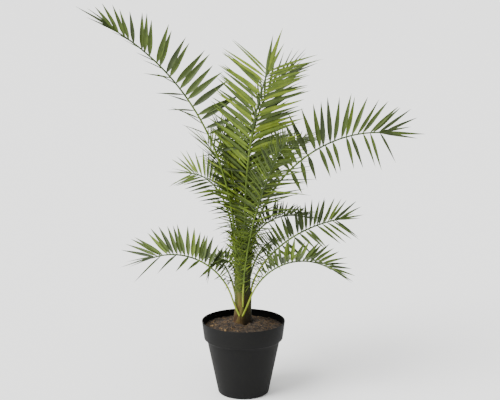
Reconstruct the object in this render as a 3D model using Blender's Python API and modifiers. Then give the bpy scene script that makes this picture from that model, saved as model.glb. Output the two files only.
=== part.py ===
"""A young date palm in a round plastic pot, built as separate closed solids.

Units are metres and +Z is up.  The origin is the centre of the pot's flat
underside, and the plant's front faces -Y.  Headings are degrees turned from +X
towards +Y, seen from above.

The pot, the soil that fills it, the trunk and every frond are solids of their
own.  A frond is split at its bend into a stalk and a blade, and each half is one
rib with its leaflets joined to it.
"""

import math
import random
from dataclasses import dataclass

import bmesh
import bpy
from mathutils import Vector
from mathutils.bvhtree import BVHTree

CLEARANCE = 0.0003  # between two pieces that touch
MERGE = 0.00001  # merge distance of modifiers and welds

# Pot: a round tapered tub with a deep rim band.
POT_HEIGHT = 0.215
POT_WALL = 0.0024
POT_STEPS = 36
RIM_RADIUS = 0.120
RIM_BAND_HEIGHT = 0.052
RIM_BAND_FOOT_RADIUS = 0.1135
COVE_HEIGHT = 0.013
COVE_RADIUS = 0.1035
WALL_FOOT_RADIUS = 0.0745
FOOT_CHAMFER = 0.008
LIP_ROUND = 0.0012
POT_FLOOR = 0.004

# Soil: filled to just under the rim, and heaped round the trunk.
SOIL_EDGE_HEIGHT = 0.196
SOIL_CROWN_HEIGHT = 0.2125
SOIL_CROWN_RADIUS = 0.034
SOIL_STEPS = 24

# Trunk: a short stem of old leaf bases, flared where it meets the soil.
TRUNK_FOOT = Vector((-0.003, 0.0, SOIL_CROWN_HEIGHT + CLEARANCE))
TRUNK_TOP = Vector((-0.001, 0.002, 0.448))
TRUNK_FOOT_RADIUS = 0.0225
TRUNK_TOP_RADIUS = 0.0165
TRUNK_FLARE = 0.0045
TRUNK_FLARE_HEIGHT = 0.022
TRUNK_RINGS = 12
TRUNK_RING_EASE = 1.4  # above 1 the rings crowd towards the foot
TRUNK_ROUNDNESS = 3
SHEATH_SWELL = 1.3  # a leaf base is this much thicker than the stalk on it
SHEATH_RUN = 0.030  # length of a leaf base along the trunk
SHEATH_SINK = 0.005  # how deep its foot lies in the trunk
CROWN_RING = 0.0095  # radius of the ring of stalks on the trunk's top
CROWN_STUB = 0.006  # how far their leaf bases stand out of it

# Fronds.
RIB_SAMPLES = 240  # steps by which a rib's line is worked out
RIB_STEP = 0.045  # spacing of a rib's stations in its solid
SQUARE_END = 0.003  # length of the straight run at each end of a rib's solid
RIB_TIP_RADIUS = 0.0012
RIB_TAPER = 0.8  # below 1 the rib thins early
LEAFLET_BROADEST = 0.36  # share of the length where a leaflet is widest
LEAFLET_FOLD = 0.0022  # how far the edges stand above the crease
LEAFLET_KEEL = 0.0010  # how far the crease stands below
LEAFLET_ROOT = 0.0012  # half width of the end sunk in the rib
ROOT_SINK = 0.004  # length of rib kept free next to a cut end
SLIM_EASE = 1.2  # above 1 the shorter leaflets are slimmer still
LEAFLET_MARGIN = 0.0010  # kept free round a leaflet
LEAFLET_TRIES = (1.0, 0.85, 0.7, 0.55, 0.42)  # shares of the length tried in turn
SPINE_SHARE = 0.38  # length of the first leaflets, against the longest
SWING_JITTER = 5.0  # degrees
LENGTH_JITTER = 0.08


@dataclass(frozen=True)
class Foot:
    """Where a frond stands on the trunk."""

    turn: float  # side of the trunk, degrees from +X
    height: float  # above the trunk's top, it stands on the top's ring
    radius: float  # of the stalk there


@dataclass(frozen=True)
class Arch:
    """The line that a frond's rib follows."""

    heading: float  # degrees from +X
    length: float
    rise: float  # slope of the foot, degrees above level
    fall: float  # slope of the tip
    bend: float = 1.0  # above 1 the arch comes late, below 1 early
    sweep: float = 0.0  # degrees that the heading turns on the way to the tip


@dataclass(frozen=True)
class Rank:
    """One side's row of leaflets."""

    longest: float  # length of the longest leaflets
    vee: float = 42.0  # rise out of the blade's plane at its base, degrees
    tip_vee: float = 20.0  # and at the tip
    base: float = 80.0  # angle between rib and leaflet at the base, degrees
    tip: float = 26.0  # and at the tip
    ease: float = 2.0  # above 1 the leaflets lean forward late
    last: float = 0.95  # length of the last leaflets, against the longest
    drop: float = 0.0  # pull of their weight
    start: float = 0.0  # share of the rib's length where the row begins
    spacing: float = 0.029  # along the rib
    width: float = 0.0150  # of the longest leaflets


@dataclass(frozen=True)
class Leafing:
    """How a frond's rib is set with leaflets."""

    bare: float  # share of the length below the first leaflets
    full: float  # share of the length where they reach full size
    split: float  # share of the length where stalk and blade part
    upper: Rank
    roll: float = 0.0  # turn of the blade about its rib, degrees
    lower: Rank | None = None  # the side that the roll turns down, where it differs


@dataclass(frozen=True)
class Frond:
    """One frond."""

    name: str
    foot: Foot
    arch: Arch
    leafing: Leafing


FRONDS = (
    Frond(
        "high_left",
        Foot(-155, 0.400, 0.0038),
        Arch(178, 0.773, 88.5, 30, 1.21, 6),
        Leafing(
            0.06,
            0.56,
            0.52,
            Rank(0.128, 45, 45, 104, 22, 2.6, 0.70),
            45,
            Rank(0.092, -16, 26, 84, 8, 1.2, 0.60, spacing=0.048, width=0.010),
        ),
    ),
    Frond(
        "high_right",
        Foot(0, 0.380, 0.0036),
        Arch(6, 0.612, 90, -6.5, 1.03, 12),
        Leafing(
            0.10,
            0.52,
            0.48,
            Rank(0.134, 34, 20, 86, 25, 3.4, 0.90),
            -60,
            Rank(0.074, 0, -14, 104, 44, 2.6, 1.45, 0.9, 0.50, width=0.013),
        ),
    ),
    Frond(
        "tall_front",
        Foot(-60, 0.450, 0.0036),
        Arch(-58, 0.510, 90.6, 58, 1.24),
        Leafing(
            0.04,
            0.34,
            0.28,
            Rank(0.150, 16, 20, 50, 77, 1.3, 0.93),
            34,
            Rank(0.150, 16, 20, 76, 56, 1.5, 0.93),
        ),
    ),
    Frond(
        "tall_back",
        Foot(20, 0.450, 0.0034),
        Arch(30, 0.505, 90, 34, 2.60),
        Leafing(
            0.06,
            0.40,
            0.50,
            Rank(0.060, 34, 20, 72, 4, 1.8, 1.5),
            -60,
            Rank(0.125, 34, 20, 72, 16, 1.8),
        ),
    ),
    Frond(
        "tall_left",
        Foot(168, 0.450, 0.0032),
        Arch(146, 0.330, 88, 66, 1.00),
        Leafing(0.06, 0.40, 0.45, Rank(0.105, base=74, tip=30, last=0.6)),
    ),
    Frond(
        "mid_left",
        Foot(168, 0.385, 0.0028),
        Arch(160, 0.321, 85, -7, 2.45, -8),
        Leafing(
            0.10,
            0.56,
            0.60,
            Rank(0.078, 40, 20, 88, 20, 3.0, 1.2, spacing=0.022, width=0.013),
            34,
            Rank(0.068, 0, 0, 84, 30, 2.0, 1.2, 0.3, width=0.013),
        ),
    ),
    Frond(
        "low_left",
        Foot(-144, 0.235, 0.0034),
        Arch(180, 0.338, 90, -21, 1.01, -6),
        Leafing(
            0.26,
            0.56,
            0.46,
            Rank(0.084, 42, 24, 84, 28, 2.6, 1.3),
            32,
            Rank(0.060, 0, 0, 84, 42, 1.6, 1.9, spacing=0.044, width=0.012),
        ),
    ),
    Frond(
        "low_right",
        Foot(-70, 0.235, 0.0034),
        Arch(-4, 0.338, 82, -32, 1.20, -4),
        Leafing(
            0.26,
            0.56,
            0.46,
            Rank(0.076, 58, 26, 84, 22, 2.6, 1.05, spacing=0.025),
            -10,
        ),
    ),
    Frond(
        "front_right",
        Foot(-88, 0.258, 0.0037),
        Arch(-22, 0.505, 90, 61, 1.00),
        Leafing(
            0.14,
            0.72,
            0.45,
            Rank(0.078, 30, 20, width=0.011),
            50,
            Rank(0.140, 10, 0, 84, 62, 1.2, 0.60, width=0.010),
        ),
    ),
    Frond(
        "mid_right",
        Foot(-8, 0.300, 0.0034),
        Arch(8, 0.361, 88, 3.5, 0.62, 16),
        Leafing(
            0.14,
            0.50,
            0.44,
            Rank(0.080, 42, 24, 84, 20, 2.8, 1.1, spacing=0.022, width=0.013),
            -40,
            Rank(0.074, -10, -10, 86, 34, 2.0, 1.2, 0.2, spacing=0.040, width=0.011),
        ),
    ),
    Frond(
        "mid_right_rear",
        Foot(26, 0.410, 0.0028),
        Arch(22, 0.223, 94, -20, 0.76),
        Leafing(0.16, 0.50, 0.46, Rank(0.080, spacing=0.022, width=0.012)),
    ),
    Frond(
        "rear_left",
        Foot(132, 0.420, 0.0032),
        Arch(128, 0.345, 91, 29, 1.15),
        Leafing(0.08, 0.50, 0.50, Rank(0.105, width=0.013)),
    ),
    Frond(
        "rear_right",
        Foot(52, 0.420, 0.0032),
        Arch(48, 0.420, 70, -6, 2.20),
        Leafing(0.08, 0.50, 0.56, Rank(0.090, width=0.012)),
    ),
    Frond(
        "tall_rear",
        Foot(100, 0.450, 0.0034),
        Arch(92, 0.310, 90, 50, 1.20),
        Leafing(0.06, 0.36, 0.42, Rank(0.120, 30, base=72, tip=40, last=0.7)),
    ),
    Frond(
        "mid_rear",
        Foot(90, 0.360, 0.0032),
        Arch(98, 0.400, 86, -5, 1.20, 8),
        Leafing(0.16, 0.50, 0.50, Rank(0.110)),
    ),
    Frond(
        "low_rear_right",
        Foot(60, 0.280, 0.0030),
        Arch(62, 0.250, 80, -14, 1.00, 6),
        Leafing(0.18, 0.50, 0.46, Rank(0.090, width=0.012)),
    ),
    Frond(
        "low_left_rear",
        Foot(172, 0.350, 0.0026),
        Arch(170, 0.109, 88, -80, 1.20, -6),
        Leafing(0.12, 0.45, 0.45, Rank(0.055, 20, 0, 84, 24, spacing=0.017, width=0.010), 20),
    ),
    Frond(
        "low_rear_left",
        Foot(135, 0.262, 0.0030),
        Arch(122, 0.215, 78, -18, 1.10, -6),
        Leafing(0.18, 0.50, 0.46, Rank(0.085, width=0.012)),
    ),
)

POT_COLOUR = (0.023, 0.024, 0.025, 1.0)
SOIL_COLOUR = (0.060, 0.036, 0.022, 1.0)
TRUNK_COLOUR = (0.130, 0.110, 0.040, 1.0)
STALK_COLOUR = (0.270, 0.310, 0.050, 1.0)
BLADE_COLOUR = (0.110, 0.170, 0.032, 1.0)


def smooth_step(x):
    """Ease from 0 to 1 as x goes from 0 to 1."""
    x = min(max(x, 0.0), 1.0)
    return x * x * (3.0 - 2.0 * x)


def mix(a, b, share):
    """The value at the given share of the way from a to b."""
    return a + (b - a) * share


# Scene helpers ---------------------------------------------------------------


def clear_scene():
    """Remove every object that the file starts with."""
    for obj in list(bpy.data.objects):
        bpy.data.objects.remove(obj, do_unlink=True)


def make_collection(name):
    """A new collection linked to the scene."""
    collection = bpy.data.collections.new(name)
    bpy.context.scene.collection.children.link(collection)
    return collection


def make_material(name, colour, roughness):
    """A plain Principled BSDF material."""
    material = bpy.data.materials.new(name)
    material.use_nodes = True
    shader = material.node_tree.nodes["Principled BSDF"]
    shader.inputs["Base Color"].default_value = colour
    shader.inputs["Roughness"].default_value = roughness
    shader.inputs["Metallic"].default_value = 0.0
    return material


def make_object(name, mesh, collection, material):
    """An object on the given mesh, with one material."""
    obj = bpy.data.objects.new(name, mesh)
    mesh.materials.clear()
    mesh.materials.append(material)
    collection.objects.link(obj)
    return obj


def turned(name, profile, steps, collection, material):
    """Turn a profile of (radius, height) pairs about the Z axis."""
    mesh = bpy.data.meshes.new(name)
    edges = [(i, i + 1) for i in range(len(profile) - 1)]
    mesh.from_pydata([(r, 0.0, z) for r, z in profile], edges, [])
    obj = make_object(name, mesh, collection, material)
    screw = obj.modifiers.new("Turn", "SCREW")
    screw.steps = steps
    screw.render_steps = steps
    screw.use_merge_vertices = True
    screw.merge_threshold = MERGE
    screw.use_smooth_shade = True
    return obj


def tube_mesh(name, points, radii, resolution):
    """The closed mesh of a tube through the points, one radius for each."""
    curve = bpy.data.curves.new(name, "CURVE")
    curve.dimensions = "3D"
    curve.bevel_depth = 1.0
    curve.bevel_resolution = resolution
    curve.use_fill_caps = True
    spline = curve.splines.new("POLY")
    spline.points.add(len(points) - 1)
    for spline_point, point, radius in zip(spline.points, points, radii):
        spline_point.co = (*point, 1.0)
        spline_point.radius = radius
    guide = bpy.data.objects.new(name, curve)
    bpy.context.scene.collection.objects.link(guide)
    evaluated = guide.evaluated_get(bpy.context.evaluated_depsgraph_get())
    mesh = bpy.data.meshes.new_from_object(evaluated)
    bpy.data.objects.remove(guide, do_unlink=True)
    bpy.data.curves.remove(curve)
    weld(mesh)
    return mesh


def weld(mesh):
    """Close a mesh of loose faces: join their corners, face them out, cut them to triangles."""
    work = bmesh.new()
    work.from_mesh(mesh)
    bmesh.ops.remove_doubles(work, verts=work.verts, dist=MERGE)
    bmesh.ops.recalc_face_normals(work, faces=work.faces)
    bmesh.ops.triangulate(work, faces=work.faces)
    work.to_mesh(mesh)
    work.free()


def drop_scraps(mesh):
    """Keep the largest connected piece of a mesh."""
    work = bmesh.new()
    work.from_mesh(mesh)
    loose = set(work.verts)
    pieces = []
    while loose:
        piece = {loose.pop()}
        front = list(piece)
        while front:
            joined = {edge.other_vert(vert) for vert in front for edge in vert.link_edges}
            front = list(joined - piece)
            piece.update(front)
        loose -= piece
        pieces.append(piece)
    largest = max(pieces, key=len)
    scraps = [vert for vert in work.verts if vert not in largest]
    bmesh.ops.delete(work, geom=scraps, context="VERTS")
    work.to_mesh(mesh)
    work.free()


def union(name, body, limbs, collection, material):
    """One solid from a body mesh and the limb meshes that grow out of it."""
    obj = make_object(name, body, collection, material)
    if not limbs:
        return obj
    parts = bpy.data.collections.new(name + "_limbs")
    bpy.context.scene.collection.children.link(parts)
    for limb in limbs:
        parts.objects.link(bpy.data.objects.new(limb.name, limb))
    join = obj.modifiers.new("Join", "BOOLEAN")
    join.operation = "UNION"
    join.operand_type = "COLLECTION"
    join.collection = parts
    join.solver = "MANIFOLD"
    evaluated = obj.evaluated_get(bpy.context.evaluated_depsgraph_get())
    joined = bpy.data.meshes.new_from_object(evaluated)
    drop_scraps(joined)
    obj.modifiers.clear()
    obj.data = joined
    for piece in list(parts.objects):
        bpy.data.objects.remove(piece, do_unlink=True)
    bpy.data.collections.remove(parts)
    joined.materials.clear()
    joined.materials.append(material)
    return obj


# Pot and soil ----------------------------------------------------------------


def build_pot(collection, material):
    """The pot: band, cove, tapered wall and a flat underside."""
    band_foot = POT_HEIGHT - RIM_BAND_HEIGHT
    cove_foot = band_foot - COVE_HEIGHT
    inner_floor = WALL_FOOT_RADIUS - POT_WALL
    profile = [
        (0.0, POT_FLOOR),
        (inner_floor - FOOT_CHAMFER / 2, POT_FLOOR),
        (inner_floor, POT_FLOOR + FOOT_CHAMFER / 2),
        (COVE_RADIUS - POT_WALL, cove_foot + COVE_HEIGHT / 4),
        (RIM_BAND_FOOT_RADIUS - POT_WALL, band_foot + COVE_HEIGHT / 4),
        (RIM_RADIUS - POT_WALL, POT_HEIGHT - LIP_ROUND),
        (RIM_RADIUS - POT_WALL + LIP_ROUND, POT_HEIGHT),
        (RIM_RADIUS - LIP_ROUND, POT_HEIGHT),
        (RIM_RADIUS, POT_HEIGHT - LIP_ROUND),
        (RIM_BAND_FOOT_RADIUS, band_foot),
        (mix(RIM_BAND_FOOT_RADIUS, COVE_RADIUS, 0.72), mix(band_foot, cove_foot, 0.4)),
        (COVE_RADIUS, cove_foot),
        (WALL_FOOT_RADIUS, FOOT_CHAMFER),
        (WALL_FOOT_RADIUS - 0.3 * FOOT_CHAMFER, 0.3 * FOOT_CHAMFER),
        (WALL_FOOT_RADIUS - FOOT_CHAMFER, 0.0),
        (0.0, 0.0),
    ]
    return turned("pot", profile, POT_STEPS, collection, material)


def soil_height(radius):
    """Height of the soil's surface at a distance from the pot's axis."""
    edge = COVE_RADIUS
    share = (radius - SOIL_CROWN_RADIUS) / (edge - SOIL_CROWN_RADIUS)
    return mix(SOIL_CROWN_HEIGHT, SOIL_EDGE_HEIGHT, smooth_step(share))


def build_soil(collection, material):
    """The soil: it fills the pot and is heaped round the trunk."""
    gap = 3 * CLEARANCE
    cove_foot = POT_HEIGHT - RIM_BAND_HEIGHT - COVE_HEIGHT
    band_foot = POT_HEIGHT - RIM_BAND_HEIGHT
    edge_share = (SOIL_EDGE_HEIGHT - band_foot) / RIM_BAND_HEIGHT
    edge_radius = mix(RIM_BAND_FOOT_RADIUS, RIM_RADIUS, edge_share) - POT_WALL - gap
    surface_radii = [SOIL_CROWN_RADIUS, 0.052, 0.070, 0.088, COVE_RADIUS]
    profile = [(0.0, SOIL_CROWN_HEIGHT)]
    profile += [(radius, soil_height(radius)) for radius in surface_radii]
    profile += [
        (edge_radius, SOIL_EDGE_HEIGHT),
        (RIM_BAND_FOOT_RADIUS - POT_WALL - gap, band_foot + COVE_HEIGHT / 4),
        (COVE_RADIUS - POT_WALL - gap, cove_foot + COVE_HEIGHT / 4),
        (WALL_FOOT_RADIUS - POT_WALL - gap, POT_FLOOR + FOOT_CHAMFER / 2 + gap),
        (WALL_FOOT_RADIUS - POT_WALL - FOOT_CHAMFER / 2 - gap, POT_FLOOR + CLEARANCE),
        (0.0, POT_FLOOR + CLEARANCE),
    ]
    return turned("soil", profile, SOIL_STEPS, collection, material)


# Trunk -----------------------------------------------------------------------


def trunk_centre(height):
    """Point of the trunk's axis at a height: upright at the foot, then leaning."""
    share = (height - TRUNK_FOOT.z) / (TRUNK_TOP.z - TRUNK_FOOT.z)
    centre = TRUNK_FOOT.lerp(TRUNK_TOP, smooth_step(share))
    centre.z = height
    return centre


def trunk_radius(height):
    """The trunk's radius: an even taper with a flare at the foot."""
    rise = height - TRUNK_FOOT.z
    share = rise / (TRUNK_TOP.z - TRUNK_FOOT.z)
    flare = TRUNK_FLARE * math.exp(-rise / TRUNK_FLARE_HEIGHT)
    return mix(TRUNK_FOOT_RADIUS, TRUNK_TOP_RADIUS, share) + flare


def outward(turn):
    """Level unit vector at an angle from +X."""
    angle = math.radians(turn)
    return Vector((math.cos(angle), math.sin(angle), 0.0))


def stands_on_top(frond):
    """True for a frond whose foot is on the trunk's top, not its side."""
    return frond.foot.height > TRUNK_TOP.z


def frond_foot(frond):
    """Centre of the frond's foot."""
    foot = frond.foot
    if stands_on_top(frond):
        stub_top = TRUNK_TOP + Vector((0.0, 0.0, CROWN_STUB))
        return stub_top + outward(foot.turn) * CROWN_RING
    reach = trunk_radius(foot.height) + foot.radius + CLEARANCE
    return trunk_centre(foot.height) + outward(foot.turn) * reach


def sheath_mesh(frond):
    """The leaf base that carries a frond, from inside the trunk to its foot."""
    foot = frond.foot
    slope = frond_slope(frond, 0.0)
    top = frond_foot(frond) - slope * CLEARANCE
    if stands_on_top(frond):
        low = top - Vector((0.0, 0.0, CROWN_STUB + SHEATH_SINK))
        neck = top - slope * CROWN_STUB / 2
    else:
        low_height = max(foot.height - SHEATH_RUN, TRUNK_FOOT.z + foot.radius)
        low = trunk_centre(low_height)
        low += outward(foot.turn) * (trunk_radius(low_height) - SHEATH_SINK)
        neck = top - slope * SHEATH_SINK
    swell = foot.radius * SHEATH_SWELL
    return tube_mesh(frond.name + "_sheath", [low, neck, top], [foot.radius, swell, swell], 1)


def build_trunk(collection, material):
    """The trunk with one leaf base for each frond."""
    points = []
    radii = []
    for ring in range(TRUNK_RINGS + 1):
        height = mix(TRUNK_FOOT.z, TRUNK_TOP.z, (ring / TRUNK_RINGS) ** TRUNK_RING_EASE)
        points.append(trunk_centre(height))
        radii.append(trunk_radius(height))
    core = tube_mesh("trunk", points, radii, TRUNK_ROUNDNESS)
    sheaths = [sheath_mesh(frond) for frond in FRONDS]
    return union("trunk", core, sheaths, collection, material)


# Fronds ----------------------------------------------------------------------


def frond_slope(frond, share):
    """Direction of the frond's rib at a share of its length."""
    arch = frond.arch
    lift = math.radians(mix(arch.rise, arch.fall, share**arch.bend))
    level = outward(arch.heading + arch.sweep * share)
    return level * math.cos(lift) + Vector((0.0, 0.0, math.sin(lift)))


class Rib:
    """The rib of a frond, sampled finely once and read at any share."""

    def __init__(self, frond):
        self.frond = frond
        self.points = [frond_foot(frond)]
        for i in range(RIB_SAMPLES):
            stride = frond_slope(frond, (i + 0.5) / RIB_SAMPLES) * frond.arch.length / RIB_SAMPLES
            self.points.append(self.points[-1] + stride)

    def at(self, share):
        """Point of the rib at a share of its length."""
        place = min(max(share, 0.0), 1.0) * RIB_SAMPLES
        low = min(int(place), RIB_SAMPLES - 1)
        return self.points[low].lerp(self.points[low + 1], place - low)

    def radius(self, share):
        """Radius of the rib, which thins towards the tip."""
        return mix(self.frond.foot.radius, RIB_TIP_RADIUS, share**RIB_TAPER)

    def frame(self, share):
        """Slope, side and upper normal of the blade, with its roll."""
        arch = self.frond.arch
        leafing = self.frond.leafing
        slope = frond_slope(self.frond, share)
        side = outward(arch.heading + arch.sweep * share - 90.0)
        normal = side.cross(slope)
        roll = math.radians(leafing.roll) * smooth_step(share / leafing.full)
        rolled_side = side * math.cos(roll) + normal * math.sin(roll)
        rolled_normal = normal * math.cos(roll) - side * math.sin(roll)
        return slope, rolled_side, rolled_normal

    def tube(self, name, start, end):
        """The rib's mesh between two shares of the length, its ends cut square."""
        count = max(3, round((end - start) * self.frond.arch.length / RIB_STEP))
        square = SQUARE_END / self.frond.arch.length
        inner = [mix(start, end, i / count) for i in range(1, count)]
        shares = [start, start + square, *inner, end - square, end]
        points = [self.at(share) for share in shares]
        radii = [self.radius(share) for share in shares]
        return tube_mesh(name, points, radii, 0)

    def rank(self, hand):
        """The rank on the right (1) or the left (-1) of the rib."""
        leafing = self.frond.leafing
        return leafing.lower if leafing.lower and hand * leafing.roll < 0 else leafing.upper

    def leaflet_axes(self, share, hand, swing):
        """A leaflet's direction, width direction and upper normal."""
        leafing = self.frond.leafing
        rank = self.rank(hand)
        place = max(0.0, (share - leafing.bare) / (1.0 - leafing.bare))
        slope, side, normal = self.frame(share)
        spread = math.radians(mix(rank.base, rank.tip, place**rank.ease) + swing)
        vee = math.radians(mix(rank.vee, rank.tip_vee, place))
        outer = side * hand * math.cos(vee) + normal * math.sin(vee)
        along = slope * math.cos(spread) + outer * math.sin(spread)
        along.z -= rank.drop * (1.0 - along.z) / 2
        along.normalize()
        across = (slope - along * slope.dot(along)).normalized()
        return along, across, along.cross(across) * hand

    def leaflet_size(self, rank, share, stretch=1.0):
        """Length and width of a rank's leaflet at a share of the rib."""
        leafing = self.frond.leafing
        grown = smooth_step((share - leafing.bare) / (leafing.full - leafing.bare))
        waned = smooth_step((share - leafing.full) / (1.0 - leafing.full))
        part = mix(SPINE_SHARE, 1.0, grown) * mix(1.0, rank.last, waned) * stretch
        return rank.longest * part, rank.width * min(1.0, part) ** SLIM_EASE


def leaflet_mesh(name, root, axes, size, margin=0.0):
    """A folded leaflet: a small sunk end, a broad middle and a point."""
    along, across, normal = axes
    length, width = size
    root_width = LEAFLET_ROOT + margin
    half = width / 2 + margin
    fold = LEAFLET_FOLD + margin
    keel = LEAFLET_KEEL + margin
    middle = root + along * length * LEAFLET_BROADEST
    corners = [
        root + across * root_width + normal * root_width / 2,
        root - across * root_width + normal * root_width / 2,
        root - normal * root_width,
        middle + across * half + normal * fold,
        middle - across * half + normal * fold,
        middle - normal * keel,
        root + along * (length + margin),
    ]
    faces = [(0, 1, 2), (0, 3, 4, 1), (1, 4, 5, 2), (2, 5, 3, 0), (3, 6, 4), (4, 6, 5), (5, 6, 3)]
    mesh = bpy.data.meshes.new(name)
    mesh.from_pydata(corners, [], faces)
    weld(mesh)
    return mesh


def mesh_box(mesh):
    """Lowest and highest corner of a mesh."""
    corners = [vertex.co for vertex in mesh.vertices]
    low = Vector([min(corner[i] for corner in corners) for i in range(3)])
    high = Vector([max(corner[i] for corner in corners) for i in range(3)])
    return low, high


def mesh_tree(mesh):
    """A search tree of a mesh's faces."""
    corners = [vertex.co.copy() for vertex in mesh.vertices]
    faces = [tuple(polygon.vertices) for polygon in mesh.polygons]
    return BVHTree.FromPolygons(corners, faces)


class Space:
    """What is already built, so that a new leaflet can be kept clear of it."""

    def __init__(self):
        self.taken = []

    def add(self, node, mesh):
        """Remember a mesh that belongs to a node."""
        self.taken.append((node, *mesh_box(mesh), mesh_tree(mesh)))

    def is_free(self, node, mesh):
        """True where the mesh meets no mesh of another node."""
        low, high = mesh_box(mesh)
        tree = mesh_tree(mesh)
        for other, other_low, other_high, other_tree in self.taken:
            if other == node:
                continue
            if any(low[i] > other_high[i] or high[i] < other_low[i] for i in range(3)):
                continue
            if tree.overlap(other_tree):
                return False
        return True


def halves(frond):
    """The node name and the stretch of rib of the stalk and of the blade."""
    split = frond.leafing.split
    half_gap = CLEARANCE / 2 / frond.arch.length
    return (
        (frond.name + "_stalk", 0.0, split - half_gap),
        (frond.name + "_blade", split + half_gap, 1.0),
    )


def leaflet_places(rib):
    """Share, hand, swing and length factor of every leaflet on a frond, foot to tip."""
    rng = random.Random(rib.frond.name)
    places = []
    for hand in (-1.0, 1.0):
        rank = rib.rank(hand)
        start = max(rib.frond.leafing.bare, rank.start)
        count = round((1.0 - start) * rib.frond.arch.length / rank.spacing)
        shift = 0.25 + 0.25 * (1.0 + hand)
        for i in range(count):
            share = mix(start, 1.0, (i + shift) / count)
            swing = rng.uniform(-SWING_JITTER, SWING_JITTER)
            stretch = 1.0 + rng.uniform(-LENGTH_JITTER, LENGTH_JITTER)
            places.append((share, hand, swing, stretch))
    return sorted(places)


def frond_leaflets(rib, node, start, end, space):
    """The leaflets on one stretch of a rib, each kept clear of the other nodes."""
    sink = ROOT_SINK / rib.frond.arch.length
    leaflets = []
    for share, hand, swing, stretch in leaflet_places(rib):
        if start + sink < share < end - sink:
            axes = rib.leaflet_axes(share, hand, swing)
            size = rib.leaflet_size(rib.rank(hand), share, stretch)
            leaflets.append(fitted_leaflet(rib.at(share), axes, size, node, space))
    if end == 1.0:
        size = rib.leaflet_size(rib.frond.leafing.upper, 1.0)
        leaflets.append(fitted_leaflet(rib.at(1.0 - sink), rib.frame(1.0), size, node, space))
    return [leaflet for leaflet in leaflets if leaflet]


def fitted_leaflet(root, axes, size, node, space):
    """The longest leaflet that stays clear of the other nodes, or None."""
    for share in LEAFLET_TRIES:
        trimmed = (size[0] * share, size[1] * share)
        guard = leaflet_mesh("guard", root, axes, trimmed, LEAFLET_MARGIN)
        is_free = space.is_free(node, guard)
        bpy.data.meshes.remove(guard)
        if is_free:
            leaflet = leaflet_mesh(node + "_leaflet", root, axes, trimmed)
            space.add(node, leaflet)
            return leaflet
    return None


def build_fronds(collection, stalk_material, blade_material, space):
    """Every frond as a stalk and a blade, leafed in the order of the list."""
    ribs = [Rib(frond) for frond in FRONDS]
    tubes = {}
    for rib in ribs:
        for node, start, end in halves(rib.frond):
            tubes[node] = rib.tube(node, start, end)
            space.add(node, tubes[node])
    for rib in ribs:
        for node, start, end in halves(rib.frond):
            leaflets = frond_leaflets(rib, node, start, end, space)
            material = stalk_material if node.endswith("_stalk") else blade_material
            union(node, tubes[node], leaflets, collection, material)


def main():
    """Build the pot, the soil, the trunk and the fronds."""
    clear_scene()
    palm = make_collection("potted_date_palm")
    solids = [
        build_pot(palm, make_material("black_plastic", POT_COLOUR, 0.45)),
        build_soil(palm, make_material("potting_soil", SOIL_COLOUR, 0.95)),
        build_trunk(palm, make_material("leaf_base_trunk", TRUNK_COLOUR, 0.8)),
    ]
    space = Space()
    depsgraph = bpy.context.evaluated_depsgraph_get()
    for obj in solids:
        space.add(obj.name, bpy.data.meshes.new_from_object(obj.evaluated_get(depsgraph)))
    stalk_material = make_material("green_stalk", STALK_COLOUR, 0.5)
    blade_material = make_material("green_leaflets", BLADE_COLOUR, 0.5)
    build_fronds(palm, stalk_material, blade_material, space)


if __name__ == "__main__":
    main()
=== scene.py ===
"""A young date palm in a round black pot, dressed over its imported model.

Units are metres and +Z is up.  The origin is the centre of the pot's underside, and
the plant's front faces -Y.  Headings are degrees turned from +X towards +Y.

Each sub-assembly is a class that holds its own sizes: the pot, the soil, the trunk
with its leaf bases, the fringe of leaflets round it, and the crown of fronds.  Each
finish is a small frozen class.
"""

import logging
import math
import random
from collections.abc import Callable, Iterable, Sequence
from dataclasses import dataclass, field
from enum import Enum

import bpy
from mathutils import Matrix, Vector, noise

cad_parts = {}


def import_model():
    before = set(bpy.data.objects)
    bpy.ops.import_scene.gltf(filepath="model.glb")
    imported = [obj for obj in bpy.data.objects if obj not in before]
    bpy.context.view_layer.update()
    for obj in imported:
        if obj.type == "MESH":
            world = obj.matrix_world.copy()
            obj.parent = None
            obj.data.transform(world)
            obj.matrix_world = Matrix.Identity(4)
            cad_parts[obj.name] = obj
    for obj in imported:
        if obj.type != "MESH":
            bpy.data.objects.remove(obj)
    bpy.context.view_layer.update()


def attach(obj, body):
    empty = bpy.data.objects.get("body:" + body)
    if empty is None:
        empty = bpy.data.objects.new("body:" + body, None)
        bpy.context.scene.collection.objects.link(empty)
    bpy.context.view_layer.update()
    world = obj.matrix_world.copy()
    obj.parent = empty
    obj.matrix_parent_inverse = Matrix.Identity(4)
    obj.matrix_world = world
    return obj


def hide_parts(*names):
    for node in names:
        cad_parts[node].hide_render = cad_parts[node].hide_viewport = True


LOG = logging.getLogger("date_palm")
BODY = "root"
MM = 0.001

# Two numbers that belong together, such as the ends of a range.
Pair = tuple[float, float]

# A ramp's places and hex colours, in rising order.
Tones = tuple[tuple[float, str], ...]


# Small helpers ---------------------------------------------------------------


def mix(a: float, b: float, share: float) -> float:
    """Return the value at the given share of the way from a to b."""
    return a + (b - a) * share


def smooth_step(x: float) -> float:
    """Return x eased from 0 to 1, and held outside that range."""
    x = min(max(x, 0.0), 1.0)
    return x * x * (3.0 - 2.0 * x)


def outward(turn: float) -> Vector:
    """Return the level unit vector at an angle in degrees from +X."""
    angle = math.radians(turn)
    return Vector((math.cos(angle), math.sin(angle), 0.0))


def arc(start: float, end: float, steps: int) -> list[Pair]:
    """Return (cosine, sine) at even steps from one angle in degrees to another."""
    angles = [math.radians(mix(start, end, step / steps)) for step in range(steps + 1)]
    return [(math.cos(angle), math.sin(angle)) for angle in angles]


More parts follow.
